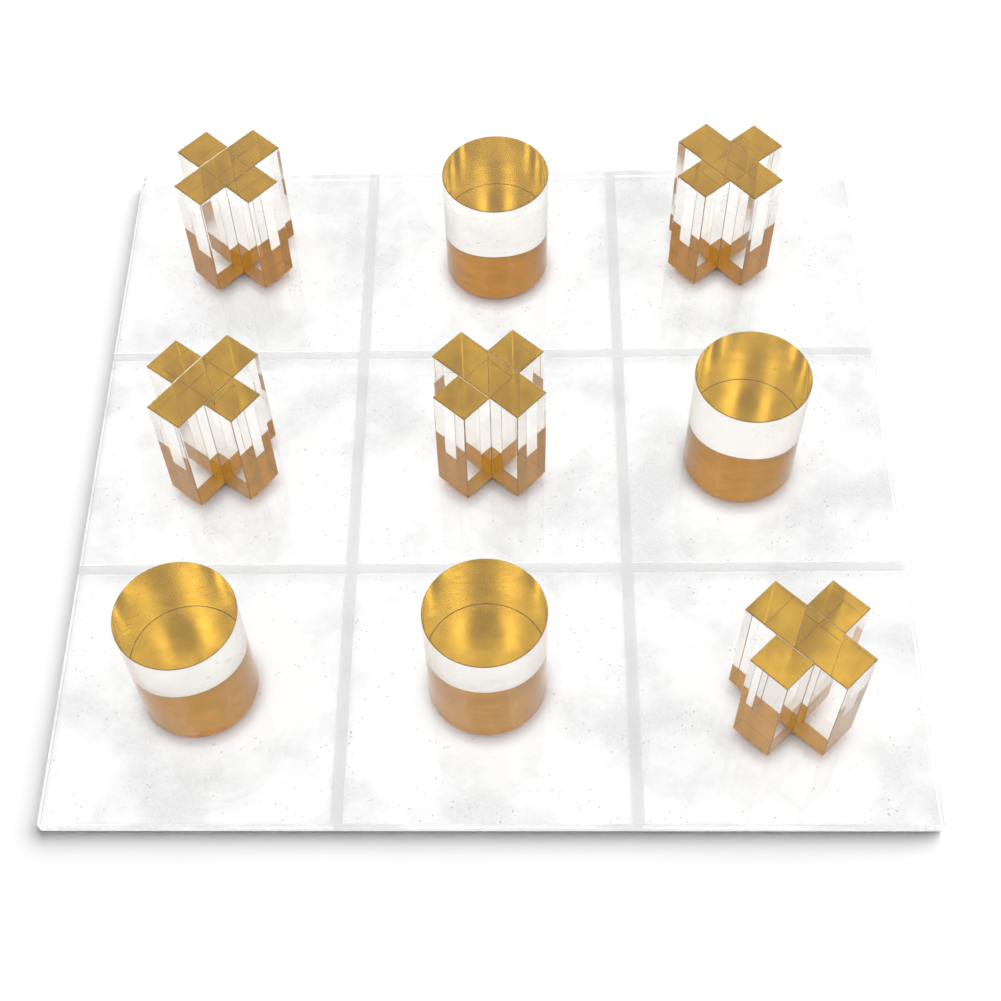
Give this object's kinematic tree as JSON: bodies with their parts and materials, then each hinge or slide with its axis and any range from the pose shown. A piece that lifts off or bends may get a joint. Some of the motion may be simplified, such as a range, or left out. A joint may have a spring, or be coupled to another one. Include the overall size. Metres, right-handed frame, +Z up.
{
  "type": "tic tac toe set",
  "caption": "Square clear board with a frosted three by three grid, and solid clear cross and disc pieces with gold bases standing in its cells.",
  "frame": {"origin": "centre of the board's underside, on the surface that the set stands on", "axes": "+X to the players' right, +Y towards the rear row of cells, +Z up out of the board"},
  "size_m": [0.2794, 0.2794, 0.0501],
  "materials": {
    "clear_sheet": "clear cast acrylic sheet, polished edges, frosted grid grooves",
    "clear_piece": "clear cast acrylic, polished on all faces",
    "gold_base": "satin gold film bonded under the clear acrylic"
  },
  "bodies": {
    "board": {"board_sheet": "clear_sheet"},
    "cross_rear_left": {"cross_rear_left_long_bar": "clear_piece", "cross_rear_left_left_block": "clear_piece", "cross_rear_left_right_block": "clear_piece", "cross_rear_left_gold_base": "gold_base"},
    "disc_rear_centre": {"disc_rear_centre_clear_disc": "clear_piece", "disc_rear_centre_gold_base": "gold_base"},
    "cross_rear_right": {"cross_rear_right_long_bar": "clear_piece", "cross_rear_right_left_block": "clear_piece", "cross_rear_right_right_block": "clear_piece", "cross_rear_right_gold_base": "gold_base"},
    "cross_middle_left": {"cross_middle_left_long_bar": "clear_piece", "cross_middle_left_left_block": "clear_piece", "cross_middle_left_right_block": "clear_piece", "cross_middle_left_gold_base": "gold_base"},
    "cross_middle_centre": {"cross_middle_centre_long_bar": "clear_piece", "cross_middle_centre_left_block": "clear_piece", "cross_middle_centre_right_block": "clear_piece", "cross_middle_centre_gold_base": "gold_base"},
    "disc_middle_right": {"disc_middle_right_clear_disc": "clear_piece", "disc_middle_right_gold_base": "gold_base"},
    "disc_front_left": {"disc_front_left_clear_disc": "clear_piece", "disc_front_left_gold_base": "gold_base"},
    "disc_front_centre": {"disc_front_centre_clear_disc": "clear_piece", "disc_front_centre_gold_base": "gold_base"},
    "cross_front_right": {"cross_front_right_long_bar": "clear_piece", "cross_front_right_left_block": "clear_piece", "cross_front_right_right_block": "clear_piece", "cross_front_right_gold_base": "gold_base"}
  },
  "joints": [
    {"name": "cross_rear_left_lift", "type": "slide", "parent": "board", "child": "cross_rear_left", "axis": [0, 0, 1], "range_m": [0, 0.06]},
    {"name": "disc_rear_centre_lift", "type": "slide", "parent": "board", "child": "disc_rear_centre", "axis": [0, 0, 1], "range_m": [0, 0.06]},
    {"name": "cross_rear_right_lift", "type": "slide", "parent": "board", "child": "cross_rear_right", "axis": [0, 0, 1], "range_m": [0, 0.06]},
    {"name": "cross_middle_left_lift", "type": "slide", "parent": "board", "child": "cross_middle_left", "axis": [0, 0, 1], "range_m": [0, 0.06]},
    {"name": "cross_middle_centre_lift", "type": "slide", "parent": "board", "child": "cross_middle_centre", "axis": [0, 0, 1], "range_m": [0, 0.06]},
    {"name": "disc_middle_right_lift", "type": "slide", "parent": "board", "child": "disc_middle_right", "axis": [0, 0, 1], "range_m": [0, 0.06]},
    {"name": "disc_front_left_lift", "type": "slide", "parent": "board", "child": "disc_front_left", "axis": [0, 0, 1], "range_m": [0, 0.06]},
    {"name": "disc_front_centre_lift", "type": "slide", "parent": "board", "child": "disc_front_centre", "axis": [0, 0, 1], "range_m": [0, 0.06]},
    {"name": "cross_front_right_lift", "type": "slide", "parent": "board", "child": "cross_front_right", "axis": [0, 0, 1], "range_m": [0, 0.06]}
  ]
}
